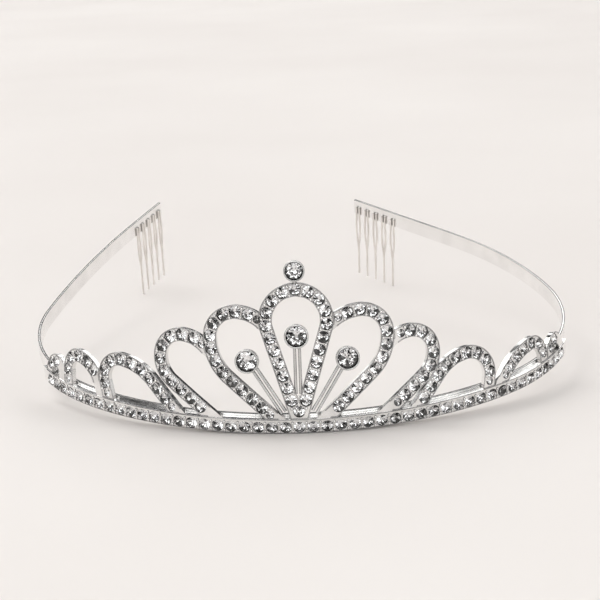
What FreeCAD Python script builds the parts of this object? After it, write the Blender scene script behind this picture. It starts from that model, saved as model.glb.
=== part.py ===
import FreeCAD, Part
import math
import os
import Sketcher
from FreeCAD import Placement, Rotation, Vector

# Bridal tiara: an open horseshoe headband with a leaning crown of stone-set loops on its
# front, three bezel stones on wire stems, a fourth bezel stone on top, and a wire comb on
# each end of the band.  Millimetres, +Z up, the front faces -Y.
#
# The pieces are laid out in the band frame: its origin is the front centre of the rail's
# lower outer edge, X to the right, Y to the back, Z square to the band.  The band rests
# on that edge and on its comb teeth, so BAND tips the frame up at the back.

DIMENSIONS = [
    # band, seen from above: a front arc, two corner arcs, two arm arcs and two straight ends
    ("front_radius", 91.8), ("front_turn", 34.7),
    ("corner_radius", 52.4), ("left_corner_turn", 65.0), ("right_corner_turn", 70.8),
    ("left_arm_radius", 376.0), ("left_arm_turn", 10.4),
    ("right_arm_radius", 106.0), ("right_arm_turn", 26.8),
    ("strip_height", 4.4), ("strip_thickness", 0.8),
    ("rail_height", 3.9), ("rail_thickness", 1.7), ("left_rail_turn", 25.8),
    ("right_rail_turn", 33.0),
    ("row_pitch", 3.4), ("row_stone_diameter", 3.05), ("row_stone_height", 1.75),
    ("left_row_stones", 22), ("right_row_stones", 24), ("most_stones", 24),
    # crown wall, which leans back from the rail's top
    ("wall_lean", 16.0), ("wall_thickness", 1.3), ("wall_inset", 0.15), ("wall_height", 42.0),
    ("wall_corner_turn", 34.0), ("loop_width", 3.3), ("cut_depth", 8.0),
    ("loop_pitch", 3.25), ("loop_stone_diameter", 3.0), ("end_stone_diameter", 2.1),
    ("foot_stone_up", 1.9), ("stone_clearance", 0.02), ("rail_clearance", 0.1), ("sliver_volume", 0.2),
    # stones: table width, crown height, pavilion depth and culet width, over the radius
    ("table_share", 0.55), ("crown_share", 0.36), ("pavilion_share", 0.82), ("culet_share", 0.08),
    # bezel stones, the post under the top one, and the stems of the others
    ("centre_bezel_up", 20.7), ("side_bezel_up", 14.6), ("side_bezel_turn", 7.9),
    ("top_bezel_up", 36.6), ("bezel_diameter", 6.0), ("top_bezel_diameter", 5.2),
    ("bezel_wall", 0.5), ("bezel_height", 2.2), ("bezel_sink", 0.25), ("bezel_girdle", 1.87),
    ("post_diameter", 1.1), ("post_foot_up", 33.3),
    ("stem_wire", 0.8), ("stem_gap", 1.2), ("centre_stem_foot", 6.2),
    ("side_stem_foot", 1.6), ("side_stem_foot_turn", 2.4),
    # combs
    ("comb_back", 134.0), ("tooth_pitch", 4.0), ("teeth_each_side", 5), ("comb_end_margin", 2.2),
    ("tooth_drop", 21.2), ("tooth_wire", 0.65), ("tooth_root", 2.6), ("leg_start", 0.62),
    ("leg_bow", 0.85), ("leg_merge", 13.5),
    # middle of the whole object's depth, behind the rail's front edge
    ("middle_back", 74.96),
]

# Each loop: its name and side; turn of the band from the front centre to the loop's top; height
# of the top's centre line above the rail; the arcs (radius, turn) that run down from the top on
# the side away from the centre and on the side towards it; where the side towards the centre
# ends, which is the rail, the axis, or a length past its arcs, inside the neighbouring loop; and
# the most stones that side holds below the top one.
LOOPS = [
    ("centre_loop", 1, 0.0, 31.9, [(7.5, 107.0)], [(7.5, 107.0)], "axis", 10),
    ("left_loop_1", -1, 10.1, 26.4, [(6.3, 90.0), (13.0, 50.0)], [(10.0, 44.0)], 1.5, 2),
    ("right_loop_1", 1, 10.7, 26.0, [(6.3, 90.0), (12.0, 50.0)], [(12.0, 36.0)], 2.4, 2),
    ("left_loop_2", -1, 19.2, 19.8, [(5.5, 90.0), (7.8, 55.0)], [(9.0, 38.0)], 3.5, 1),
    ("right_loop_2", 1, 18.8, 19.1, [(5.5, 90.0), (7.8, 55.0)], [(9.0, 38.0)], 1.4, 1),
    ("left_loop_3", -1, 30.3, 10.8, [(4.7, 112.0)], [(15.0, 42.0)], "rail", 9),
    ("right_loop_3", 1, 28.2, 10.4, [(6.0, 107.0)], [(11.8, 45.0)], "rail", 9),
    ("left_loop_4", -1, 43.0, 8.3, [(3.6, 105.0)], [(9.5, 62.0)], "rail", 9),
    ("right_loop_4", 1, 47.6, 6.4, [(4.2, 105.0)], [(16.5, 45.0)], "rail", 9),
    ("left_loop_5", -1, 53.2, 3.9, [(3.0, 90.0)], [(4.2, 70.0)], "rail", 9),
    ("right_loop_5", 1, 60.0, 3.1, [(3.0, 90.0)], [(5.0, 60.0)], "rail", 9),
]

doc = FreeCAD.newDocument("bridal_tiara")
dims = doc.addObject("Spreadsheet::Sheet", "Dims")
for row, (alias, value) in enumerate(DIMENSIONS, start=1):
    dims.set("A%d" % row, alias)
    dims.set("B%d" % row, str(value))
    dims.setAlias("B%d" % row, alias)
doc.recompute()

LEAN = math.radians(dims.wall_lean)
SLOPE = math.atan2(dims.tooth_drop, dims.comb_back - dims.tooth_wire / 2)
BAND = Placement(Vector(0, -dims.middle_back, 0), Rotation(Vector(1, 0, 0), math.degrees(SLOPE)))
SKETCH_FOOT = -2.0
NODES = []
LOOP_STONES = []


def node(thing, name):
    """Makes a document object a sub-part of the tiara, under its own name."""
    thing.Label = name
    NODES.append(thing)
    return thing


# ---------------------------------------------------------------- plan of the band

def plan(side):
    """The band's arcs from the front centre to one end: (centre, radius, start turn, end turn).

    A turn is the band's change of heading since the front centre, in degrees."""
    if side > 0:
        bends = ((dims.corner_radius, dims.right_corner_turn), (dims.right_arm_radius, dims.right_arm_turn))
    else:
        bends = ((dims.corner_radius, dims.left_corner_turn), (dims.left_arm_radius, dims.left_arm_turn))
    centre = Vector(0, dims.front_radius, 0)
    radius = dims.front_radius
    arcs = [(centre, radius, 0.0, dims.front_turn)]
    for next_radius, turn in bends:
        start = arcs[-1][3]
        centre = centre + outward(side, start) * (radius - next_radius)
        radius = next_radius
        arcs.append((centre, radius, start, start + turn))
    return arcs


def outward(side, turn):
    """Unit vector that points out of the band where its heading has changed by turn."""
    angle = math.radians(turn)
    return Vector(side * math.sin(angle), -math.cos(angle), 0)


def along(side, turn):
    """Unit vector along the band, away from the front centre."""
    angle = math.radians(turn)
    return Vector(side * math.cos(angle), math.sin(angle), 0)


def arm_end(side):
    """Start of the straight end, its turn, and its lengths to the comb's near and far sides."""
    centre, radius, _, turn = plan(side)[-1]
    start = centre + outward(side, turn) * radius
    nearest = start - outward(side, turn) * comb_inset()
    to_comb = (dims.comb_back - nearest.y) / math.sin(math.radians(turn))
    comb_length = (dims.teeth_each_side - 1) * dims.tooth_pitch
    return start, turn, to_comb, to_comb + comb_length + dims.comb_end_margin


def comb_inset():
    """Distance of the comb wires' centre lines inside the rail's outer face."""
    return dims.rail_thickness + dims.strip_thickness + dims.tooth_wire / 2


def arc_edge(centre, radius, start, end):
    """Arc of a sketch through two points, the short way round."""
    first = math.atan2(start.y - centre.y, start.x - centre.x)
    last = math.atan2(end.y - centre.y, end.x - centre.x)
    if (last - first) % (2 * math.pi) > math.pi:
        first, last = last, first
    return Part.ArcOfCircle(Part.Circle(centre, Vector(0, 0, 1), radius), first, last)


def band_edge(inset, rail_only):
    """One long edge of a band that lies inset from the rail's outer face, left end to right end."""
    halves = []
    for side in (-1, 1):
        edges = []
        for centre, radius, start, end in plan(side):
            if rail_only:
                end = min(end, dims.front_turn + (dims.right_rail_turn if side > 0 else dims.left_rail_turn))
            if end > start:
                points = [centre + outward(side, turn) * (radius - inset) for turn in (start, end)]
                edges.append(arc_edge(centre, radius - inset, *points))
        if not rail_only:
            start, turn, _, length = arm_end(side)
            start = start - outward(side, turn) * inset
            edges.append(Part.LineSegment(start, start + along(side, turn) * length))
            points.append(edges[-1].EndPoint)
        halves.append((edges, points[-1]))
    return halves


def band_body(name, inset, thickness, height_alias, rail_only):
    """A body that is one flat band on edge: a closed sketch of its plan, padded to its height."""
    body = doc.addObject("PartDesign::Body", name + "_body")
    body.Placement = BAND
    sketch = sketch_on(body, "XY_Plane", name + "_plan")
    outer = band_edge(inset, rail_only)
    inner = band_edge(inset + thickness, rail_only)
    for edges, _ in outer + inner:
        for edge in edges:
            sketch.addGeometry(edge, False)
    for half in (0, 1):
        sketch.addGeometry(Part.LineSegment(outer[half][1], inner[half][1]), False)
    pad = pad_of(body, sketch, height_alias, False)
    pad.Label = name + "_pad"
    return body


# ---------------------------------------------------------------- sketches and bodies

def sketch_on(body, plane_role, name):
    """A sketch on one of its own body's origin planes."""
    sketch = body.newObject("Sketcher::SketchObject", name)
    plane = next(feature for feature in body.Origin.OriginFeatures if feature.Role == plane_role)
    sketch.AttachmentSupport = [(plane, "")]
    sketch.MapMode = "FlatFace"
    return sketch


def pad_of(body, sketch, length_alias, both_ways):
    """Pads a sketch by a length from the sheet."""
    pad = body.newObject("PartDesign::Pad", sketch.Name + "_pad")
    pad.Profile = sketch
    pad.Midplane = both_ways
    pad.setExpression("Length", "Dims." + length_alias)
    sketch.Visibility = False
    return pad


def cut(base, tool, name):
    """Boolean cut of one object by another."""
    result = doc.addObject("Part::Cut", name)
    result.Base = base
    result.Tool = tool
    return result


def fuse(shapes, name):
    """Boolean union of several objects."""
    result = doc.addObject("Part::MultiFuse", name)
    result.Shapes = shapes
    return result


# ---------------------------------------------------------------- crown wall

def wall_sector(name, centre, radius_alias, first_angle, turn_expression):
    """A leaning shell on one arc of the band: a cone sector less a smaller one."""
    cones = []
    for layer in ("outer", "inner"):
        cone = doc.addObject("Part::Cone", "%s_%s" % (name, layer))
        spare = " - Dims.wall_thickness / cos(Dims.wall_lean * 1deg)" if layer == "inner" else ""
        base_radius = "Dims.%s - Dims.wall_inset%s" % (radius_alias, spare)
        cone.setExpression("Radius1", base_radius)
        cone.setExpression("Radius2", base_radius + " - Dims.wall_height * tan(Dims.wall_lean * 1deg)")
        cone.setExpression("Height", "Dims.wall_height")
        cone.setExpression("Angle", turn_expression)
        place = Placement(centre + Vector(0, 0, dims.rail_height), Rotation(Vector(0, 0, 1), first_angle))
        cone.Placement = BAND.multiply(place)
        cones.append(cone)
    return cut(cones[0], cones[1], name)


def crown_wall():
    """The whole leaning wall that the loops are cut from."""
    corner_left, corner_right = plan(-1)[1][0], plan(1)[1][0]
    front = wall_sector("front_wall", plan(1)[0][0], "front_radius",
                        -90 - dims.front_turn, "2 * Dims.front_turn")
    right = wall_sector("right_wall", corner_right, "corner_radius",
                        -90 + dims.front_turn, "Dims.wall_corner_turn")
    left = wall_sector("left_wall", corner_left, "corner_radius",
                       -90 - dims.front_turn - dims.wall_corner_turn, "Dims.wall_corner_turn")
    return fuse([front, right, left], "crown_wall")


def wall_frame(side, turn):
    """The wall's cone at one turn: its axis point and base radius, and the tangent plane there."""
    centre, radius, _, _ = plan(side)[0 if turn <= dims.front_turn else 1]
    base_radius = radius - dims.wall_inset
    out = outward(side, turn)
    right = Vector(0, 0, 1).cross(out) * -1
    up = Vector(0, 0, math.cos(LEAN)) - out * math.sin(LEAN)
    foot = centre + out * base_radius + Vector(0, 0, dims.rail_height)
    return centre, base_radius, foot, right * -1, up


def wall_plane(side, turn, depth=0.0):
    """Placement of the wall's tangent plane, depth inside its outer face: X right, Y up, Z out."""
    _, _, foot, right, up = wall_frame(side, turn)
    facing = right.cross(up)
    return BAND.multiply(Placement(foot - facing * depth, Rotation(right, up, facing, "ZXY")))


def wall_seat(side, turn, right_of, up_by, depth=0.0):
    """Placement on the wall's outer face, reached from a tangent plane's point: Z points out."""
    centre, base_radius, foot, right, up = wall_frame(side, turn)
    facing = right.cross(up)
    level = base_radius - up_by * math.sin(LEAN)
    swing = math.cos(2 * LEAN)
    back = (math.sqrt(level ** 2 - right_of ** 2 * swing) - level) * math.cos(LEAN) / swing
    point = foot + right * right_of + up * up_by + facing * back
    flat = Vector(point.x - centre.x, point.y - centre.y, 0).normalize()
    normal = flat * math.cos(LEAN) + Vector(0, 0, math.sin(LEAN))
    return BAND.multiply(Placement(point - normal * depth, Rotation(Vector(0, 0, 1), normal)))


# ---------------------------------------------------------------- stones

def stone(diameter):
    """A round-cut stone with its girdle in the XY plane: a crown above, a pavilion below."""
    radius = diameter / 2
    pavilion = radius * dims.pavilion_share
    upper = Part.makeCone(radius, radius * dims.table_share, radius * dims.crown_share)
    lower = Part.makeCone(radius * dims.culet_share, radius, pavilion, Vector(0, 0, -pavilion))
    return upper.fuse(lower).removeSplitter()


def stones_feature(name, seats):
    """One sub-part of separate stones, one of its own diameter at each seat."""
    feature = doc.addObject("Part::Feature", name)
    shapes = []
    for seat, diameter in seats:
        shape = stone(diameter)
        shape.Placement = seat
        shapes.append(shape)
    feature.Shape = Part.makeCompound(shapes)
    return feature


def row_seats():
    """Seats of the rail's stones, at even steps along its outer face."""
    seats = []
    for number in range(-int(dims.left_row_stones), int(dims.right_row_stones) + 1):
        side = 1 if number >= 0 else -1
        distance = abs(number) * dims.row_pitch
        turn = math.degrees(distance / dims.front_radius)
        if turn > dims.front_turn:
            beyond = distance - math.radians(dims.front_turn) * dims.front_radius
            turn = dims.front_turn + math.degrees(beyond / dims.corner_radius)
        centre, radius, _, _ = plan(side)[0 if turn <= dims.front_turn else 1]
        out = outward(side, turn)
        point = centre + out * radius + Vector(0, 0, dims.row_stone_height)
        seat = BAND.multiply(Placement(point, Rotation(Vector(0, 0, 1), out)))
        seats.append((seat, dims.row_stone_diameter))
    return seats


# ---------------------------------------------------------------- loops

def side_arcs(top, arcs, side, offset):
    """Arcs of one side of a loop, offset from its centre line: (centre, radius, start, end)."""
    turn = 0.0
    centre = Vector(0, top, 0)
    radius = 0.0
    result = []
    for arc_radius, arc_turn in arcs:
        centre = centre + side_point(side, turn) * (radius - arc_radius)
        radius = arc_radius
        ends = [centre + side_point(side, angle) * (radius + offset) for angle in (turn, turn + arc_turn)]
        result.append((centre, radius + offset, ends[0], ends[1]))
        turn += arc_turn
    return result, turn


def side_point(side, turn):
    """Unit vector from an arc's centre to its point at a turn from the top."""
    angle = math.radians(turn)
    return Vector(side * math.sin(angle), math.cos(angle), 0)


def side_edges(top, arcs, side, offset, finish):
    """Sketch edges of one side of a loop from its top down, and the point where they end."""
    curves, turn = side_arcs(top, arcs, side, offset)
    edges = [arc_edge(*curve) for curve in curves]
    end = curves[-1][3]
    heading = Vector(side * math.cos(math.radians(turn)), -math.sin(math.radians(turn)), 0)
    if finish == "rail":
        edges.append(Part.LineSegment(end, end + heading * ((SKETCH_FOOT - end.y) / heading.y)))
        end = edges[-1].EndPoint
    elif finish == "axis":
        edges.append(Part.LineSegment(end, end + heading * (-end.x / heading.x)))
        end = edges[-1].EndPoint
    else:
        edges.append(Part.LineSegment(end, end + heading * finish))
        end = edges[-1].EndPoint
    return edges, end


def loop_sketch(sketch, top, sides, half_width):
    """Draws a loop: an outer and an inner edge on each side of its top, and its ends."""
    tips = {}
    pointed = sides[1][1] == "axis"
    for side, (arcs, finish, _) in sides.items():
        for offset in (half_width, -half_width):
            goal = "rail" if pointed and offset > 0 else finish
            edges, tips[side, offset] = side_edges(top, arcs, side, offset, goal)
            for edge in edges:
                sketch.addGeometry(edge, False)
    if pointed:
        sketch.addGeometry(Part.LineSegment(tips[1, half_width], tips[-1, half_width]), False)
    else:
        for side in sides:
            sketch.addGeometry(Part.LineSegment(tips[side, half_width], tips[side, -half_width]), False)


def path_point(top, arcs, side, distance):
    """Point of a loop's centre line at a distance from its top."""
    curves, turn = side_arcs(top, arcs, side, 0.0)
    passed = 0.0
    for (centre, radius, _, end), (_, arc_turn) in zip(curves, arcs):
        length = radius * math.radians(arc_turn)
        if distance <= length:
            return centre + side_point(side, passed + math.degrees(distance / radius)) * radius
        distance -= length
        passed += arc_turn
    heading = Vector(side * math.cos(math.radians(turn)), -math.sin(math.radians(turn)), 0)
    return end + heading * distance


def place_stone(seats, side, turn, spot, diameter):
    """Adds a stone's seat if it stays clear of the rail and of every loop stone placed so far."""
    seat = wall_seat(side, turn, spot.x, spot.y)
    gaps = [(seat.Base - point).Length - (diameter + width) / 2 for point, width in LOOP_STONES]
    if spot.y < diameter / 2 + dims.rail_clearance or any(gap < dims.stone_clearance for gap in gaps):
        return False
    LOOP_STONES.append((seat.Base, diameter))
    seats.append((seat, diameter))
    return True


def loop_seats(side, turn, top, sides):
    """Seats of a loop's stones: on top, then down each side while there is room, then a small one."""
    large, small = dims.loop_stone_diameter, dims.end_stone_diameter
    seats = []
    place_stone(seats, side, turn, Vector(0, top, 0), large)
    if sides[1][1] == "axis":
        place_stone(seats, side, turn, Vector(0, dims.foot_stone_up, 0), large)
    for direction, (arcs, _, most) in sides.items():
        number = 0
        while number < most:
            spot = path_point(top, arcs, direction, (number + 1) * dims.loop_pitch)
            if not place_stone(seats, side, turn, spot, large):
                break
            number += 1
        step = (large + small) / 2 + 2 * dims.stone_clearance
        spot = path_point(top, arcs, direction, number * dims.loop_pitch + step)
        place_stone(seats, side, turn, spot, small)
    return seats


def build_loop(name, side, turn, top, sides, wall, neighbour):
    """One loop of the crown and its stones: cut from the wall, trimmed by its neighbour."""
    body = doc.addObject("PartDesign::Body", name + "_body")
    body.Placement = wall_plane(side, turn)
    sketch = sketch_on(body, "XY_Plane", name + "_outline")
    loop_sketch(sketch, top, sides, dims.loop_width / 2)
    pad_of(body, sketch, "cut_depth", True)
    blank = doc.addObject("Part::Common", name + "_blank")
    blank.Base = body
    blank.Tool = wall
    trimmed = cut(blank, neighbour, name + "_trimmed") if neighbour else blank
    stones = stones_feature(name + "_stones", loop_seats(side, turn, top, sides))
    return blank, cut(trimmed, node(stones, name + "_stones"), name + "_set")


# ---------------------------------------------------------------- bezels and stems

def build_bezel(name, side, turn, up_by, diameter, post_length):
    """A bezel cup on the wall's outer face, with its stone seated in it and a post if it has one."""
    seat = wall_seat(side, turn, 0.0, up_by, dims.bezel_sink)
    cup = doc.addObject("Part::Cylinder", name + "_cup")
    cup.setExpression("Radius", "Dims.%s / 2" % diameter)
    cup.setExpression("Height", "Dims.bezel_height")
    cup.Placement = seat
    if post_length:
        post = doc.addObject("Part::Cylinder", name + "_post")
        post.setExpression("Radius", "Dims.post_diameter / 2")
        post.Height = post_length
        downward = Placement(Vector(), Rotation(Vector(0, 0, 1), Vector(0, -1, 0)))
        post.Placement = wall_plane(side, turn, dims.bezel_sink).multiply(
            Placement(Vector(0, up_by, 0), Rotation())).multiply(downward)
        cup = fuse([cup, post], name + "_cup_and_post")
    girdle = seat.multiply(Placement(Vector(0, 0, dims.bezel_girdle), Rotation()))
    bore = doc.addObject("Part::Cylinder", name + "_bore")
    bore.setExpression("Radius", "Dims.%s / 2 - Dims.bezel_wall" % diameter)
    bore.setExpression("Height", "Dims.bezel_height")
    bore.Placement = girdle
    width = getattr(dims, diameter) - 2 * dims.bezel_wall
    gem = node(stones_feature(name + "_gem", [(girdle, width)]), name + "_stone")
    node(cut(cut(cup, bore, name + "_open_cup"), gem, name + "_set"), name + "_bezel")
    return cup


def build_stem(name, top_place, length, cutters):
    """A hairpin wire from a bezel's back down to the crown's foot."""
    body = doc.addObject("PartDesign::Body", name + "_body")
    body.Placement = top_place
    half_gap = dims.stem_gap / 2
    path = sketch_on(body, "XY_Plane", name + "_path")
    path.addGeometry(Part.LineSegment(Vector(-half_gap, -length, 0), Vector(-half_gap, 0, 0)), False)
    path.addGeometry(Part.ArcOfCircle(Part.Circle(Vector(), Vector(0, 0, 1), half_gap), 0, math.pi), False)
    path.addGeometry(Part.LineSegment(Vector(half_gap, 0, 0), Vector(half_gap, -length, 0)), False)
    profile = sketch_on(body, "XZ_Plane", name + "_wire")
    profile.AttachmentOffset = Placement(Vector(0, 0, length), Rotation())
    circle = Part.Circle(Vector(-half_gap, 0, 0), Vector(0, 0, 1), dims.stem_wire / 2)
    profile.addGeometry(circle, False)
    profile.addConstraint(Sketcher.Constraint("Diameter", 0, dims.stem_wire))
    profile.renameConstraint(0, "wire")
    profile.setExpression("Constraints.wire", "Dims.stem_wire")
    pipe = body.newObject("PartDesign::AdditivePipe", name + "_pipe")
    pipe.Profile = profile
    pipe.Spine = path
    result = body
    for number, cutter in enumerate(cutters):
        result = cut(result, cutter, "%s_trim_%d" % (name, number))
    return node(result, name)


# ---------------------------------------------------------------- combs

def leg_path(sketch, direction, drop):
    """One comb leg: straight on the strip, bowed out, then merged on the tooth's axis."""
    out_by = dims.leg_bow - dims.leg_start
    radius = (dims.leg_merge / (2 * (math.sqrt(out_by) + math.sqrt(dims.leg_bow)))) ** 2
    first = math.degrees(math.sqrt(out_by / radius))
    second = math.degrees(math.sqrt(dims.leg_bow / radius))
    point = Vector(direction * dims.leg_start, dims.tooth_root, 0)
    heading = 0.0
    steps = [(None, dims.tooth_root), (radius, first), (radius, -first - second), (radius, second)]
    if drop > dims.leg_merge:
        steps.append((None, drop - dims.leg_merge))
    for bend, amount in steps:
        if bend is None:
            step = Vector(0, -amount, 0)
            sketch.addGeometry(Part.LineSegment(point, point + step), False)
            point = point + step
            continue
        sign = 1 if amount > 0 else -1
        centre = point + leg_side(direction, heading) * (sign * bend)
        heading += amount
        end = centre - leg_side(direction, heading) * (sign * bend)
        sketch.addGeometry(arc_edge(centre, bend, point, end), False)
        point = end


def leg_side(direction, heading):
    """Unit vector square to a leg that points down, on the side it bows to."""
    angle = math.radians(heading)
    return Vector(direction * math.cos(angle), math.sin(angle), 0)


def build_tooth(name, place):
    """A comb tooth: a long leg to the tip and a shorter one that joins it."""
    body = doc.addObject("PartDesign::Body", name + "_body")
    body.Placement = place
    for number, (direction, drop) in enumerate(((1, dims.tooth_drop), (-1, dims.leg_merge))):
        path = sketch_on(body, "XY_Plane", "%s_path_%d" % (name, number))
        leg_path(path, direction, drop)
        profile = sketch_on(body, "XZ_Plane", "%s_wire_%d" % (name, number))
        profile.AttachmentOffset = Placement(Vector(0, 0, -dims.tooth_root), Rotation())
        centre = Vector(direction * dims.leg_start, 0, 0)
        profile.addGeometry(Part.Circle(centre, Vector(0, 0, 1), dims.tooth_wire / 2), False)
        profile.addConstraint(Sketcher.Constraint("Diameter", 0, dims.tooth_wire))
        profile.renameConstraint(0, "wire")
        profile.setExpression("Constraints.wire", "Dims.tooth_wire")
        pipe = body.newObject("PartDesign::AdditivePipe", "%s_leg_%d" % (name, number))
        pipe.Profile = profile
        pipe.Spine = path
    return node(body, name)


def build_comb(prefix, side):
    """The teeth of one comb, soldered to the inner face of the strip's straight end."""
    start, turn, to_comb, _ = arm_end(side)
    forward = along(side, turn)
    for number in range(int(dims.teeth_each_side)):
        distance = to_comb + number * dims.tooth_pitch
        point = start + forward * distance - outward(side, turn) * comb_inset()
        turning = Rotation(forward * side, Vector(0, 0, 1), outward(side, turn), "ZXY")
        build_tooth("%s_comb_tooth_%d" % (prefix, number + 1), BAND.multiply(Placement(point, turning)))


# ---------------------------------------------------------------- assembly

SIDES = (("left", -1), ("right", 1))

strip = band_body("headband_strip", dims.rail_thickness, dims.strip_thickness, "strip_height", False)
node(strip, "headband_strip")
row = node(stones_feature("base_row_stones", row_seats()), "base_row_stones")
rail = band_body("base_rail", 0.0, dims.rail_thickness, "rail_height", True)
node(cut(rail, row, "base_rail"), "base_rail")

wall = crown_wall()
blanks = {}
loops = {}
for name, side, turn, top, away, towards, towards_end, towards_most in LOOPS:
    pointed = towards_end == "axis"
    sides = {side: (away, towards_end if pointed else "rail", int(dims.most_stones)),
             -side: (towards, towards_end, towards_most)}
    if pointed:
        sides[side] = sides[-side]
    blank, loops[name] = build_loop(name, side, turn, top, sides, wall, blanks.get(side))
    if pointed:
        blanks = {-1: blank, 1: blank}
    else:
        blanks[side] = blank
        node(loops[name], name)

top_post = dims.top_bezel_up - dims.post_foot_up
top_cup = build_bezel("top", 1, 0.0, dims.top_bezel_up, "top_bezel_diameter", top_post)
centre_loop = node(cut(loops["centre_loop"], top_cup, "centre_loop"), "centre_loop")
build_bezel("centre", 1, 0.0, dims.centre_bezel_up, "bezel_diameter", 0)
mid_wall = dims.wall_thickness / 2
centre_top = wall_plane(1, 0.0, mid_wall).multiply(Placement(Vector(0, dims.centre_bezel_up, 0), Rotation()))
build_stem("centre_stem", centre_top, dims.centre_bezel_up - dims.centre_stem_foot, [centre_loop])
for prefix, side in SIDES:
    build_bezel(prefix, side, dims.side_bezel_turn, dims.side_bezel_up, "bezel_diameter", 0)
    upper = wall_seat(side, dims.side_bezel_turn, 0.0, dims.side_bezel_up, mid_wall)
    lower = wall_seat(side, dims.side_stem_foot_turn, 0.0, dims.side_stem_foot, mid_wall)
    rise = upper.Base - lower.Base
    facing = upper.Rotation.multVec(Vector(0, 0, 1))
    turning = Rotation(rise.cross(facing), rise, facing, "YXZ")
    build_stem(prefix + "_stem", Placement(upper.Base, turning), rise.Length,
               [centre_loop, loops[prefix + "_loop_1"]])
    build_comb(prefix, side)

doc.recompute()

broken = [thing.Name for thing in doc.Objects if "Invalid" in thing.State or "Error" in thing.State]
if broken:
    raise RuntimeError("not built: " + ", ".join(broken))
os.makedirs("parts", exist_ok=True)
whole = FreeCAD.BoundBox()
for thing in NODES:
    if thing.Shape.isNull() or not thing.Shape.isValid() or not thing.Shape.Solids:
        raise RuntimeError("bad shape: " + thing.Label)
    solids = [solid for solid in thing.Shape.Solids if solid.Volume > dims.sliver_volume]
    shape = solids[0] if len(solids) == 1 else Part.makeCompound(solids)
    shape.exportStep("parts/%s.step" % thing.Label)
    whole.add(shape.BoundBox)
    print("%-24s solids %3d  volume %9.2f" % (thing.Label, len(shape.Solids), shape.Volume))
print("nodes %d" % len(NODES))
print("box x %.2f..%.2f  y %.2f..%.2f  z %.2f..%.2f" % (
    whole.XMin, whole.XMax, whole.YMin, whole.YMax, whole.ZMin, whole.ZMax))
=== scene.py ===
import math
import random
from collections import namedtuple

import bmesh
import bpy
import numpy as np
from mathutils import Matrix, Quaternion, Vector


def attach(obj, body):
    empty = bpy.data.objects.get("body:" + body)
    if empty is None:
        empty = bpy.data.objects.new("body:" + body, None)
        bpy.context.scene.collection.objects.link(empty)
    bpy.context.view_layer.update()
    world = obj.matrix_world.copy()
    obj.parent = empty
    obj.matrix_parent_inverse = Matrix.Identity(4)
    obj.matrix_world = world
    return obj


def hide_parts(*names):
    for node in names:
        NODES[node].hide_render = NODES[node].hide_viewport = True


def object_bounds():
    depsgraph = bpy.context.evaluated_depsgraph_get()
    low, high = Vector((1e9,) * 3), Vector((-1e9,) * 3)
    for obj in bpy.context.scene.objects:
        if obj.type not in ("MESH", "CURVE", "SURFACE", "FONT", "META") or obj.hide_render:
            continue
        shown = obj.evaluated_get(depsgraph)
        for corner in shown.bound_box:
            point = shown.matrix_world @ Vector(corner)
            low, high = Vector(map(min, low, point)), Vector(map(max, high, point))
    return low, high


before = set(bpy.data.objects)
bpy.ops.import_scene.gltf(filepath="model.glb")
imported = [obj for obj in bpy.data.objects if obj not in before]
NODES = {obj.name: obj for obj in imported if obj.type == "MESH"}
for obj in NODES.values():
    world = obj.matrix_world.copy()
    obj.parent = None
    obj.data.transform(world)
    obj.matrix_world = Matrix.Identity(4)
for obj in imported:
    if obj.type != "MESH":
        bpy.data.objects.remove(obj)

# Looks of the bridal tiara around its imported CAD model.  Metres, +Z up, the front faces -Y.
# The CAD metal stays, apart from the bezels, which turned cups replace.  Each CAD stone is
# replaced by a faceted one with a foil back.  Prongs, rims, the strip's rounded edge and solder
# are added at the places that the CAD nodes give.

bpy.context.view_layer.update()
CAD_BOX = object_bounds()
MM = 0.001
SIDES = ("left", "right")
LOOPS = ["centre_loop"] + ["%s_loop_%d" % (side, n) for side in SIDES for n in range(1, 6)]
BEZELS = ("top", "centre", "left", "right")
RIGHTWARD, UPWARD = Vector((1, 0, 0)), Vector((0, 0, 1))
random.seed(11)


# ---------------------------------------------------------------- materials

# Noise scales are per metre, and a ramp stretches the noise between its low and high values.
TONE_PATCHES, CRYSTAL_PATCHES, FOIL_PATCHES, FLOOR_PATCHES = 160.0, 420.0, 700.0, 3.0
METAL_MARKS, SOLDER_MARKS, CRYSTAL_MARKS = 900.0, 1500.0, 1400.0
NOISE_DETAIL = 3.0
NOISE_LOW, NOISE_HIGH = 0.35, 0.68
MARK_HEIGHT = 0.03 * MM
# Painted shade in corners: how far it reaches, and the AO values where it is darkest and where it
# ends.
RECESS_REACH = 0.9 * MM
RECESS_CLOSED, RECESS_OPEN = 0.25, 0.80


def new_material(name):
    """A material with its nodes, its links and its main shader."""
    material = bpy.data.materials.new(name)
    material.use_nodes = True
    nodes = material.node_tree.nodes
    return material, nodes, material.node_tree.links, nodes["Principled BSDF"]


def grey(value):
    return (value, value, value, 1.0)


def mapped(nodes, links, scale=(1.0, 1.0, 1.0)):
    """Object coordinates in metres, scaled along each axis."""
    place = nodes.new("ShaderNodeTexCoord")
    mapping = nodes.new("ShaderNodeMapping")
    mapping.inputs["Scale"].default_value = scale
    links.new(place.outputs["Object"], mapping.inputs["Vector"])
    return mapping.outputs["Vector"]


def noise_ramp(nodes, links, vector, scale, low, high):
    """Colour output of noise mapped to a range of colours or grey values."""
    noise = nodes.new("ShaderNodeTexNoise")
    noise.inputs["Scale"].default_value = scale
    noise.inputs["Detail"].default_value = NOISE_DETAIL
    links.new(vector, noise.inputs["Vector"])
    ramp = nodes.new("ShaderNodeValToRGB")
    ramp.color_ramp.elements[0].position = NOISE_LOW
    ramp.color_ramp.elements[1].position = NOISE_HIGH
    ramp.color_ramp.elements[0].color = low
    ramp.color_ramp.elements[1].color = high
    links.new(noise.outputs["Fac"], ramp.inputs["Fac"])
    return ramp.outputs["Color"]


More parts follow.
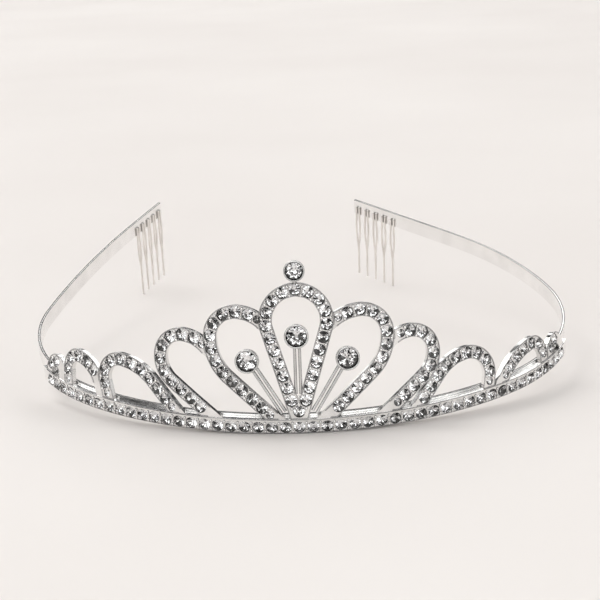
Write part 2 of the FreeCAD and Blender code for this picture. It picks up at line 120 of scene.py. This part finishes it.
def recess_shade(nodes, links, dark):
    """Colour output of painted shade: white on open surfaces, going to dark in narrow corners."""
    recess = nodes.new("ShaderNodeAmbientOcclusion")
    recess.samples = 4
    recess.inputs["Distance"].default_value = RECESS_REACH
    depth = nodes.new("ShaderNodeValToRGB")
    depth.color_ramp.elements[0].position = RECESS_CLOSED
    depth.color_ramp.elements[0].color = grey(dark)
    depth.color_ramp.elements[1].position = RECESS_OPEN
    links.new(recess.outputs["AO"], depth.inputs["Fac"])
    return depth.outputs["Color"]


def metal(name, tones, roughness, grain=(1.0, 1.0, 1.0), bump=0.15, size=METAL_MARKS,
          dark=0.10):
    """Plated metal: tone changes, uneven polish, marks drawn out along grain, and painted shade
    that darkens its corners.
    """
    material, nodes, links, shader = new_material(name)
    even = mapped(nodes, links)
    drawn = mapped(nodes, links, grain)
    low, high = [tone + (1.0,) for tone in tones]
    # The base colour is the tone times painted shade, which darkens narrow corners and gaps where
    # shade falls.
    tone_and_painted_shade = nodes.new("ShaderNodeMix")
    tone_and_painted_shade.data_type = "RGBA"
    tone_and_painted_shade.blend_type = "MULTIPLY"
    tone_and_painted_shade.inputs["Factor"].default_value = 1.0
    links.new(noise_ramp(nodes, links, even, TONE_PATCHES, low, high), tone_and_painted_shade.inputs["A"])
    links.new(recess_shade(nodes, links, dark), tone_and_painted_shade.inputs["B"])
    links.new(tone_and_painted_shade.outputs["Result"], shader.inputs["Base Color"])
    polish = noise_ramp(nodes, links, drawn, size, *map(grey, roughness))
    links.new(polish, shader.inputs["Roughness"])
    marks = nodes.new("ShaderNodeTexNoise")
    marks.inputs["Scale"].default_value = size * 1.7
    links.new(drawn, marks.inputs["Vector"])
    height = nodes.new("ShaderNodeBump")
    height.inputs["Strength"].default_value = bump
    height.inputs["Distance"].default_value = MARK_HEIGHT
    links.new(marks.outputs["Fac"], height.inputs["Height"])
    links.new(height.outputs["Normal"], shader.inputs["Normal"])
    shader.inputs["Metallic"].default_value = 1.0
    return material


def crystal_material():
    """The clear upper part of a stone."""
    material, nodes, links, shader = new_material("crystal_clear")
    vector = mapped(nodes, links)
    tint = noise_ramp(nodes, links, vector, CRYSTAL_PATCHES, (0.95, 0.955, 0.96, 1.0), grey(1.0))
    links.new(tint, shader.inputs["Base Color"])
    polish = noise_ramp(nodes, links, vector, CRYSTAL_MARKS, grey(0.0), grey(0.012))
    links.new(polish, shader.inputs["Roughness"])
    shader.inputs["Transmission Weight"].default_value = 1.0
    shader.inputs["IOR"].default_value = 1.62
    return material


def foil_material(name, low, high):
    """The mirror backing of a stone's facets: bright, or painted dark as a painted dark reflection.
    """
    material, nodes, links, shader = new_material(name)
    cool = (low, low, low * 1.01, 1.0)
    tint = noise_ramp(nodes, links, mapped(nodes, links), FOIL_PATCHES, cool, grey(high))
    links.new(tint, shader.inputs["Base Color"])
    shader.inputs["Metallic"].default_value = 1.0
    shader.inputs["Roughness"].default_value = 0.03
    return material


def floor_material():
    """A pale warm surface with a very slight tone change."""
    material, nodes, links, shader = new_material("floor_pale")
    darker, lighter = (0.68, 0.645, 0.625, 1.0), (0.73, 0.70, 0.68, 1.0)
    tone = noise_ramp(nodes, links, mapped(nodes, links), FLOOR_PATCHES, darker, lighter)
    links.new(tone, shader.inputs["Base Color"])
    shader.inputs["Roughness"].default_value = 0.75
    return material


PLATED = metal("plated_metal", ((0.70, 0.695, 0.69), (0.90, 0.895, 0.89)), (0.10, 0.24))
# The rim wires are painted darker than the plated metal: painted shade that draws dark outlines
# along the loops' and rail's edges.
RIM_PAINTED_DARK_METAL = metal("rim_painted_dark_outline", ((0.34, 0.34, 0.34), (0.52, 0.515, 0.51)), (0.12, 0.25))
# The strip's edge is painted near black: a painted shaded line along the strip's top.
EDGE_PAINTED_DARK_METAL = metal("strip_edge_painted_dark_line", ((0.20, 0.20, 0.20), (0.30, 0.295, 0.29)), (0.12, 0.25))
WIRE_METAL = metal("wire_plated", ((0.50, 0.50, 0.495), (0.68, 0.675, 0.67)), (0.10, 0.22))
BAND_METAL = metal("band_plated", ((0.88, 0.875, 0.87), (0.97, 0.965, 0.96)), (0.13, 0.26),
                   grain=(1.0, 1.0, 14.0), bump=0.25, dark=0.6)
COMB_METAL = metal("comb_wire_plated", ((0.74, 0.71, 0.68), (0.88, 0.85, 0.82)), (0.28, 0.42),
                   grain=(8.0, 8.0, 1.0), bump=0.2, dark=0.95)
SOLDER = metal("solder", ((0.60, 0.58, 0.56), (0.78, 0.76, 0.74)), (0.25, 0.45),
               size=SOLDER_MARKS, dark=0.7)
CRYSTAL = crystal_material()
FOIL = foil_material("crystal_foil", 0.88, 0.99)
# Painted dark reflection: a near-black foil that some facets get, in place of the dark surroundings
# a real stone reflects.
FOIL_PAINTED_DARK = foil_material("crystal_foil_painted_dark", 0.02, 0.07)


# ---------------------------------------------------------------- reading the CAD nodes

Seat = namedtuple("Seat", "centre axis radius")
SAME_POINT = 1e-6
GIRDLE_SHARE = 0.97


def welded(node):
    """The node's mesh with its doubled points joined."""
    mesh = bmesh.new()
    mesh.from_mesh(NODES[node].data)
    bmesh.ops.remove_doubles(mesh, verts=mesh.verts, dist=SAME_POINT)
    mesh.verts.ensure_lookup_table()
    return mesh


def islands(mesh):
    """Lists of the points of each loose part of a mesh, in the order they come."""
    seen = set()
    for first in mesh.verts:
        if first.index in seen:
            continue
        seen.add(first.index)
        part, stack = [], [first]
        while stack:
            vert = stack.pop()
            part.append(vert)
            for edge in vert.link_edges:
                other = edge.other_vert(vert)
                if other.index not in seen:
                    seen.add(other.index)
                    stack.append(other)
        yield part


def stone_seats(node):
    """The girdle's centre, the outward axis and the radius of each stone of a CAD stone node."""
    mesh = welded(node)
    seats = []
    for part in islands(mesh):
        points = np.array([vert.co for vert in part])
        middle = points.mean(0)
        axis = np.linalg.eigh(np.cov((points - middle).T))[1][:, 0]
        heights = (points - middle) @ axis
        radii = np.linalg.norm((points - middle) - np.outer(heights, axis), axis=1)
        ring = heights[radii > radii.max() * GIRDLE_SHARE]
        if ring.mean() < (heights.max() + heights.min()) / 2:
            axis, heights, ring = -axis, -heights, -ring
        centre = Vector(middle + axis * ring.mean())
        seats.append(Seat(centre, Vector(axis).normalized(), float(radii.max())))
    mesh.free()
    return seats


SEATS = {node: stone_seats(node) for node in NODES if "stone" in node}


# ---------------------------------------------------------------- pieces

def add_piece(name, mesh, materials, replaced=(), smooth=False):
    """Makes a piece from a bmesh and sets it on the tiara's body."""
    data = bpy.data.meshes.new(name)
    mesh.to_mesh(data)
    mesh.free()
    for material in materials:
        data.materials.append(material)
    if smooth:
        data.shade_smooth()
    piece = bpy.data.objects.new(name, data)
    bpy.context.scene.collection.objects.link(piece)
    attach(piece, "root")
    if replaced:
        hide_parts(*replaced)


def frame_at(point, axis, sideways):
    """Matrix with its origin at point, Z along axis and X near sideways."""
    across = (sideways - axis * sideways.dot(axis)).normalized()
    along = axis.cross(across)
    matrix = Matrix((across, along, axis)).transposed().to_4x4()
    matrix.translation = point
    return matrix


def ring_of(mesh, matrix, count, radius, height, offset=0.0):
    """A ring of points round a frame's Z axis."""
    return [mesh.verts.new(matrix @ Vector((radius * math.cos(math.tau * (i + offset) / count),
                                            radius * math.sin(math.tau * (i + offset) / count),
                                            height)))
            for i in range(count)]


# A cut stone's radii and heights, as shares of its girdle's radius.  The lower ring of points
# lies at LOWER_DEPTH of the depth that a plain cone would have there.
TABLE, MIDDLE, LOWER = 0.56, 0.80, 0.46
CROWN, MIDDLE_UP, GIRDLE, PAVILION = 0.34, 0.20, 0.02, 0.74
LOWER_DEPTH = 0.97
# Stones above FULL_RADIUS are full brilliants.  The dark counts give how many of a cut's backing
# sectors or facets get the painted dark foil, a painted dark reflection; each stone stands in its
# seat at STONE_SHARE of the CAD stone's size.
FULL_RADIUS = 2 * MM
FOLD_SMALL, FOLD_FULL = 7, 8
PAINTED_DARK_SMALL, PAINTED_DARK_FULL = (1, 1, 2), 4
STONE_SHARE = 0.985
STONE_TIP = 0.035
# A stone's material slots: clear crystal, bright foil, and the painted dark foil.
CLEAR_FACE, BRIGHT_FACE, PAINTED_DARK_FACE = 0, 1, 2


def brilliant(mesh, matrix, radius, fold, full):
    """A round stone, clear above and foil-backed below: a full brilliant or a small cut."""
    def ring(share, height, count=fold, offset=0.0):
        return ring_of(mesh, matrix, count, radius * share, radius * height, offset)

    table = ring(TABLE, CROWN)
    upper = ring(1.0, GIRDLE, 2 * fold)
    lower = ring(1.0, -GIRDLE, 2 * fold)
    culet = mesh.verts.new(matrix @ Vector((0, 0, -radius * PAVILION)))
    facets = [(table, CLEAR_FACE)]
    # Backing facets picked at random get the painted dark foil: painted dark reflections.
    painted_dark_count = PAINTED_DARK_FULL if full else random.choice(PAINTED_DARK_SMALL)
    dark = random.sample(range(3 * fold if full else fold), painted_dark_count)
    backing = [PAINTED_DARK_FACE if number in dark else BRIGHT_FACE for number in range(3 * fold)]
    if full:
        middle = ring(MIDDLE, MIDDLE_UP, offset=0.5)
        deep = ring(LOWER, -PAVILION * (1 - LOWER) * LOWER_DEPTH, offset=0.5)
    for i in range(fold):
        j = (i + 1) % fold
        corner, half, following = 2 * i, 2 * i + 1, (2 * i + 2) % (2 * fold)
        clear = [(upper[corner], lower[corner], lower[half], upper[half]),
                 (upper[half], lower[half], lower[following], upper[following])]
        if full:
            backed = [((culet, deep[i], lower[corner], deep[i - 1]), backing[i]),
                      ((deep[i], lower[half], lower[corner]), backing[fold + i]),
                      ((deep[i], lower[following], lower[half]), backing[2 * fold + i])]
            crown = [(table[i], middle[i], table[j]),
                     (table[i], middle[i - 1], upper[corner], middle[i]),
                     (middle[i], upper[corner], upper[half]),
                     (middle[i], upper[half], upper[following])]
        else:
            backed = [((culet, lower[half], lower[corner]), backing[i]),
                      ((culet, lower[following], lower[half]), backing[i])]
            crown = [(table[i], upper[corner], upper[half]),
                     (table[i], upper[half], table[j]),
                     (table[j], upper[half], upper[following])]
        facets += [(points, CLEAR_FACE) for points in clear]
        facets += backed
        facets += [(points, CLEAR_FACE) for points in crown]
    for points, index in facets:
        mesh.faces.new(points).material_index = index


def build_stones(node, name):
    """Replaces a CAD stone node by faceted stones, each turned and tipped a little."""
    mesh = bmesh.new()
    for centre, axis, radius in SEATS[node]:
        lean = Vector((random.uniform(-1, 1), random.uniform(-1, 1), random.uniform(-1, 1)))
        facing = (axis + lean * STONE_TIP).normalized()
        spin = Matrix.Rotation(random.uniform(0, math.tau), 4, "Z")
        full = radius > FULL_RADIUS
        brilliant(mesh, frame_at(centre, facing, RIGHTWARD) @ spin, radius * STONE_SHARE,
                  FOLD_FULL if full else FOLD_SMALL, full)
    bmesh.ops.recalc_face_normals(mesh, faces=mesh.faces)
    add_piece(name, mesh, (CRYSTAL, FOIL, FOIL_PAINTED_DARK), (node,))


# A bead's size is its radius along each of its frame's axes.  The sizes and the height of the
# prongs above the girdles are in millimetres.
LOOP_BEAD, ROW_BEAD, SOLDER_BEAD = (0.36, 0.40, 0.34), (0.34, 0.44, 0.34), (0.36, 0.36, 0.42)
PRONG_LIFT = 0.12
# Two prongs stand at SPREAD from the line between stones that are less than LIMIT apart.
LOOP_SPREAD, LOOP_LIMIT = 1.05 * MM, 4.2 * MM
ROW_SPREAD, ROW_LIMIT = 1.12 * MM, 4.0 * MM


def bead(mesh, matrix, size):
    """A small rounded bead."""
    scale = Matrix.Diagonal((size[0] * MM, size[1] * MM, size[2] * MM, 1.0))
    bmesh.ops.create_icosphere(mesh, subdivisions=2, radius=1.0, matrix=matrix @ scale)


def neighbours(seats, limit):
    """Pairs of stones that stand next to each other."""
    pairs = []
    for i, first in enumerate(seats):
        for second in seats[i + 1:]:
            if (first.centre - second.centre).length < limit:
                pairs.append((first, second))
    return pairs


def build_prongs(node, name, spread, size, limit):
    """Two shared beads at each gap between neighbouring stones."""
    mesh = bmesh.new()
    for first, second in neighbours(SEATS[node], limit):
        axis = (first.axis + second.axis).normalized()
        along = (second.centre - first.centre).normalized()
        middle = (first.centre + second.centre) / 2
        across = axis.cross(along)
        for way in (-1, 1):
            point = middle + across * (way * spread) + axis * PRONG_LIFT * MM
            bead(mesh, frame_at(point, axis, along), size)
    add_piece(name, mesh, (PLATED,), smooth=True)


def chains(edges):
    """Orders a set of vertex pairs into open or closed runs of points."""
    links = {}
    for a, b in edges:
        links.setdefault(a, []).append(b)
        links.setdefault(b, []).append(a)
    starts = [v for v in links if len(links[v]) != 2] + list(links)
    used = set()
    for start in starts:
        for following in links[start]:
            if frozenset((start, following)) in used:
                continue
            run = [start, following]
            used.add(frozenset(run))
            while len(links[run[-1]]) == 2:
                onward = [v for v in links[run[-1]] if frozenset((run[-1], v)) not in used]
                if not onward:
                    break
                used.add(frozenset((run[-1], onward[0])))
                run.append(onward[0])
            yield run


# Radii of the rim wires and how far they lie inside the outline, the strip's in wire radii.
LOOP_RIM, LOOP_INSET = 0.16 * MM, 0.12 * MM
RAIL_RIM, RAIL_INSET = 0.13 * MM, 0.16 * MM
STRIP_EDGE, STRIP_INSET = 0.12 * MM, 1.1
SHARP_ANGLE, LEVEL_FACE = 0.6, 0.8
SHORTEST_STEP, SHORTEST_RIM = 0.15 * MM, 1.2 * MM
# A rim's edges lie level with the nearest stone's girdle and outside it, but not far out.
RIM_LEVEL, RIM_GAP, RIM_REACH = 0.32 * MM, 0.12 * MM, 2.2


def tube(mesh, points, radius, sides=8):
    """A round wire through points, each with a facing direction, with closed ends."""
    kept = [points[0]]
    for point in points[1:]:
        if (point[0] - kept[-1][0]).length > SHORTEST_STEP:
            kept.append(point)
    rings = []
    for i, (point, facing) in enumerate(kept):
        before = kept[max(i - 1, 0)][0]
        after = kept[min(i + 1, len(kept) - 1)][0]
        along = (after - before).normalized()
        matrix = frame_at(point, along, facing)
        rings.append(ring_of(mesh, matrix, sides, radius, 0.0))
    for first, second in zip(rings, rings[1:]):
        for i in range(sides):
            j = (i + 1) % sides
            mesh.faces.new((first[i], first[j], second[j], second[i]))
    mesh.faces.new(rings[0][::-1])
    mesh.faces.new(rings[-1])


def nearest(seats, point):
    return min(seats, key=lambda seat: (seat.centre - point).length)


def build_rim(node, stones, name, radius, inset):
    """A raised wire along the outline of a stone-set face, from the CAD mesh's sharp edges."""
    mesh = welded(node)
    seats = SEATS[stones]
    sharp = []
    for edge in mesh.edges:
        if len(edge.link_faces) != 2 or edge.calc_face_angle(0.0) < SHARP_ANGLE:
            continue
        middle = (edge.verts[0].co + edge.verts[1].co) / 2
        near = nearest(seats, middle)
        offset = middle - near.centre
        height = offset.dot(near.axis)
        reach = (offset - near.axis * height).length
        if abs(height) < RIM_LEVEL and near.radius + RIM_GAP < reach < near.radius * RIM_REACH:
            sharp.append((edge.verts[0], edge.verts[1]))
    tubes = bmesh.new()
    for run in chains(sharp):
        points = []
        for vert in run:
            near = nearest(seats, vert.co)
            inward = near.centre - vert.co
            inward = (inward - near.axis * inward.dot(near.axis)).normalized()
            points.append((vert.co + inward * inset, near.axis))
        if sum((b[0] - a[0]).length for a, b in zip(points, points[1:])) < SHORTEST_RIM:
            continue
        tube(tubes, points, radius)
    mesh.free()
    add_piece(name, tubes, (RIM_PAINTED_DARK_METAL,), smooth=True)


def build_strip_edge(radius):
    """A fine rounded edge round the top of the strip, painted near black as a painted shaded line.
    """
    mesh = welded("headband_strip")
    sharp, sides = [], {}
    for edge in mesh.edges:
        if len(edge.link_faces) != 2 or edge.calc_face_angle(0.0) < SHARP_ANGLE:
            continue
        top, side = sorted(edge.link_faces, key=lambda face: -face.normal.z)
        if top.normal.z > LEVEL_FACE:
            sharp.append((edge.verts[0], edge.verts[1]))
            for vert in edge.verts:
                sides.setdefault(vert, []).append(side.normal.copy())
    tubes = bmesh.new()
    for run in chains(sharp):
        points = []
        for vert in run:
            outward = sum(sides[vert], Vector()).normalized()
            points.append((vert.co - outward * radius * STRIP_INSET, UPWARD))
        tube(tubes, points, radius)
    mesh.free()
    add_piece("headband_strip_edge", tubes, (EDGE_PAINTED_DARK_METAL,), smooth=True)


BEZEL_WALL, BEZEL_DEPTH, BEZEL_STEPS = 0.5 * MM, 1.85 * MM, 72
# The post starts under the cup, at POST_ROOT of its radius, and sticks out by POST_LENGTH; its
# ends lie so many millimetres behind the girdle.
POST_RADIUS, POST_SIDES, POST_LENGTH, POST_ROOT = 0.5 * MM, 14, 0.75 * MM, 0.7
POST_START, POST_END = 1.75, 1.9


def build_bezel(name):
    """A turned bezel cup with a rolled lip round its stone; the top one has a post below."""
    centre, axis, stone_radius = SEATS[name + "_stone"][0]
    outer = stone_radius + BEZEL_WALL
    # Radius and height above the girdle: across the back, up the side, over the lip, then
    # down inside to the middle.
    profile = [(0.0, -BEZEL_DEPTH), (outer * 0.80, -BEZEL_DEPTH),
               (outer * 0.93, -BEZEL_DEPTH * 0.93), (outer * 0.97, -BEZEL_DEPTH * 0.7),
               (outer * 0.985, -0.9 * MM), (outer, -0.25 * MM),
               (outer, 0.02 * MM), (outer * 0.985, 0.17 * MM), (outer * 0.95, 0.27 * MM),
               (outer * 0.905, 0.30 * MM), (outer * 0.865, 0.25 * MM), (outer * 0.84, 0.13 * MM),
               (outer * 0.835, -0.10 * MM), (outer * 0.80, -0.60 * MM),
               (outer * 0.45, -1.35 * MM), (0.0, -1.55 * MM)]
    mesh = bmesh.new()
    matrix = frame_at(centre, axis, RIGHTWARD)
    rings = []
    for radius, height in profile:
        if radius == 0.0:
            rings.append([mesh.verts.new(matrix @ Vector((0, 0, height)))] * BEZEL_STEPS)
        else:
            rings.append(ring_of(mesh, matrix, BEZEL_STEPS, radius, height))
    for first, second in zip(rings, rings[1:]):
        for i in range(BEZEL_STEPS):
            j = (i + 1) % BEZEL_STEPS
            corners = dict.fromkeys((first[i], first[j], second[j], second[i]))
            mesh.faces.new(list(corners))
    if name == "top":
        down = Vector((0, 0, -1))
        down = (down - axis * down.dot(axis)).normalized()
        start = centre - axis * POST_START * MM + down * outer * POST_ROOT
        end = centre - axis * POST_END * MM + down * (outer + POST_LENGTH)
        tube(mesh, [(start, axis), ((start + end) / 2, axis), (end, axis)], POST_RADIUS, POST_SIDES)
    bmesh.ops.recalc_face_normals(mesh, faces=mesh.faces)
    add_piece(name + "_bezel_cup", mesh, (WIRE_METAL,),
              (name + "_bezel",), smooth=True)


# Points closer than WIRE_END belong to one wire; its solder lies SOLDER_DROP below the top.
WIRE_END, SOLDER_DROP = 0.9 * MM, 0.25 * MM


def build_solder(side):
    """Blobs of solder where the comb wires meet the strip."""
    mesh = bmesh.new()
    for number in range(1, 6):
        tooth = welded("%s_comb_tooth_%d" % (side, number))
        top = max(vert.co.z for vert in tooth.verts)
        ends = [vert.co.copy() for vert in tooth.verts if vert.co.z > top - SOLDER_DROP]
        tooth.free()
        far_end = max(ends, key=lambda point: (point - ends[0]).length)
        for corner in (ends[0], far_end):
            cluster = [point for point in ends if (point - corner).length < WIRE_END]
            middle = sum(cluster, Vector()) / len(cluster)
            middle.z -= SOLDER_DROP
            bead(mesh, Matrix.Translation(middle), SOLDER_BEAD)
    add_piece(side + "_comb_solder", mesh, (SOLDER,), smooth=True)


for node in SEATS:
    build_stones(node, node.replace("stones", "gems").replace("_stone", "_gem"))
for loop in LOOPS:
    build_prongs(loop + "_stones", loop + "_prongs", LOOP_SPREAD, LOOP_BEAD, LOOP_LIMIT)
    build_rim(loop, loop + "_stones", loop + "_rim", LOOP_RIM, LOOP_INSET)
build_rim("base_rail", "base_row_stones", "base_rail_rim", RAIL_RIM, RAIL_INSET)
build_prongs("base_row_stones", "base_row_prongs", ROW_SPREAD, ROW_BEAD, ROW_LIMIT)
for bezel in BEZELS:
    build_bezel(bezel)
build_strip_edge(STRIP_EDGE)
for side in SIDES:
    build_solder(side)

for node, thing in NODES.items():
    if node in SEATS or node.endswith("_bezel"):
        continue
    finish = PLATED
    if node.endswith("_stem"):
        finish = WIRE_METAL
    elif node in ("headband_strip", "base_rail"):
        finish = BAND_METAL
    elif "comb_tooth" in node:
        finish = COMB_METAL
    thing.data.materials.clear()
    thing.data.materials.append(finish)


# ---------------------------------------------------------------- floor, light and camera

FLOOR_HALF = 4.0
SOFTBOX_SCALE = 3.0
SOFTBOX_LIGHT = (1.95, 1.935, 1.91, 1.0)
CEILING = (0.03, 0.03, 0.032, 1.0)
HORIZON = (0.45, 0.445, 0.44, 1.0)
# Where a softbox's edge fades out, and between which heights the horizon meets the ceiling.
SOFTBOX_EDGE, HORIZON_TOP = (0.50, 0.55), (0.04, 0.12)


def build_floor():
    """A wide floor under the tiara, at Z 0."""
    mesh = bmesh.new()
    bmesh.ops.create_grid(mesh, x_segments=8, y_segments=8, size=FLOOR_HALF)
    data = bpy.data.meshes.new("floor")
    mesh.to_mesh(data)
    mesh.free()
    data.materials.append(floor_material())
    floor = bpy.data.objects.new("floor", data)
    bpy.context.scene.collection.objects.link(floor)


def add_sun(name, turn, height, angle, strength, colour):
    """A distant soft lamp, seen from turn degrees left of the back and height above the floor."""
    turn, height = math.radians(turn), math.radians(height)
    light = bpy.data.lights.new(name, "SUN")
    light.angle = math.radians(angle)
    light.energy = strength
    light.color = colour
    lamp = bpy.data.objects.new(name, light)
    towards = Vector((-math.sin(turn) * math.cos(height), math.cos(turn) * math.cos(height),
                      math.sin(height)))
    lamp.rotation_mode = "QUATERNION"
    lamp.rotation_quaternion = towards.to_track_quat("Z", "Y")
    bpy.context.scene.collection.objects.link(lamp)


def build_world():
    """Studio surroundings: pale near the floor, and round softboxes on a dark ceiling higher up."""
    world = bpy.data.worlds.new("studio")
    bpy.context.scene.world = world
    world.use_nodes = True
    nodes, links = world.node_tree.nodes, world.node_tree.links
    shade = nodes["Background"]
    place = nodes.new("ShaderNodeTexCoord")
    boxes = nodes.new("ShaderNodeTexVoronoi")
    boxes.inputs["Scale"].default_value = SOFTBOX_SCALE
    links.new(place.outputs["Generated"], boxes.inputs["Vector"])
    ramp = nodes.new("ShaderNodeValToRGB")
    ramp.color_ramp.elements[0].position, ramp.color_ramp.elements[1].position = SOFTBOX_EDGE
    ramp.color_ramp.elements[0].color = SOFTBOX_LIGHT
    ramp.color_ramp.elements[1].color = CEILING
    links.new(boxes.outputs["Distance"], ramp.inputs["Fac"])
    split = nodes.new("ShaderNodeSeparateXYZ")
    links.new(place.outputs["Generated"], split.inputs["Vector"])
    span = nodes.new("ShaderNodeMapRange")
    span.inputs["From Min"].default_value, span.inputs["From Max"].default_value = HORIZON_TOP
    links.new(split.outputs["Z"], span.inputs["Value"])
    mix = nodes.new("ShaderNodeMix")
    mix.data_type = "RGBA"
    mix.inputs["A"].default_value = HORIZON
    links.new(span.outputs["Result"], mix.inputs["Factor"])
    links.new(ramp.outputs["Color"], mix.inputs["B"])
    links.new(mix.outputs["Result"], shade.inputs["Color"])
    shade.inputs["Strength"].default_value = 1.0


# Degrees, then metres with the lens and sensor in millimetres, then metres from the box's middle
# and above the floor.
CAMERA_TURN, CAMERA_RISE, CAMERA_ROLL = 1.23, 15.52, -2.22
CAMERA_DISTANCE, CAMERA_LENS, SENSOR_WIDTH = 0.4096, 89.6, 36.0
AIM_RIGHT, AIM_BACK, AIM_HEIGHT = 0.00015, -0.02364, 0.01962


def build_camera():
    """Low in front, slightly right of the middle, rolled a little; it aims near the front row."""
    azimuth, elevation, roll = map(math.radians, (CAMERA_TURN, CAMERA_RISE, CAMERA_ROLL))
    lowest, highest = CAD_BOX
    aim = Vector(((lowest.x + highest.x) / 2 + AIM_RIGHT, (lowest.y + highest.y) / 2 + AIM_BACK,
                  AIM_HEIGHT))
    back = Vector((math.sin(azimuth) * math.cos(elevation),
                   -math.cos(azimuth) * math.cos(elevation),
                   math.sin(elevation)))
    data = bpy.data.cameras.new("camera")
    data.sensor_width = SENSOR_WIDTH
    data.lens = CAMERA_LENS
    data.clip_start = 0.01
    data.clip_end = 20.0
    camera = bpy.data.objects.new("camera", data)
    camera.location = aim + back * CAMERA_DISTANCE
    camera.rotation_mode = "QUATERNION"
    camera.rotation_quaternion = (-back).to_track_quat("-Z", "Y") @ Quaternion((0, 0, 1), roll)
    bpy.context.scene.collection.objects.link(camera)
    bpy.context.scene.camera = camera


build_floor()
build_world()
add_sun("key", turn=50.0, height=55.0, angle=30.0, strength=0.8, colour=(1.0, 0.985, 0.965))
build_camera()
bpy.context.scene.view_settings.view_transform = "Standard"

bpy.context.view_layer.update()
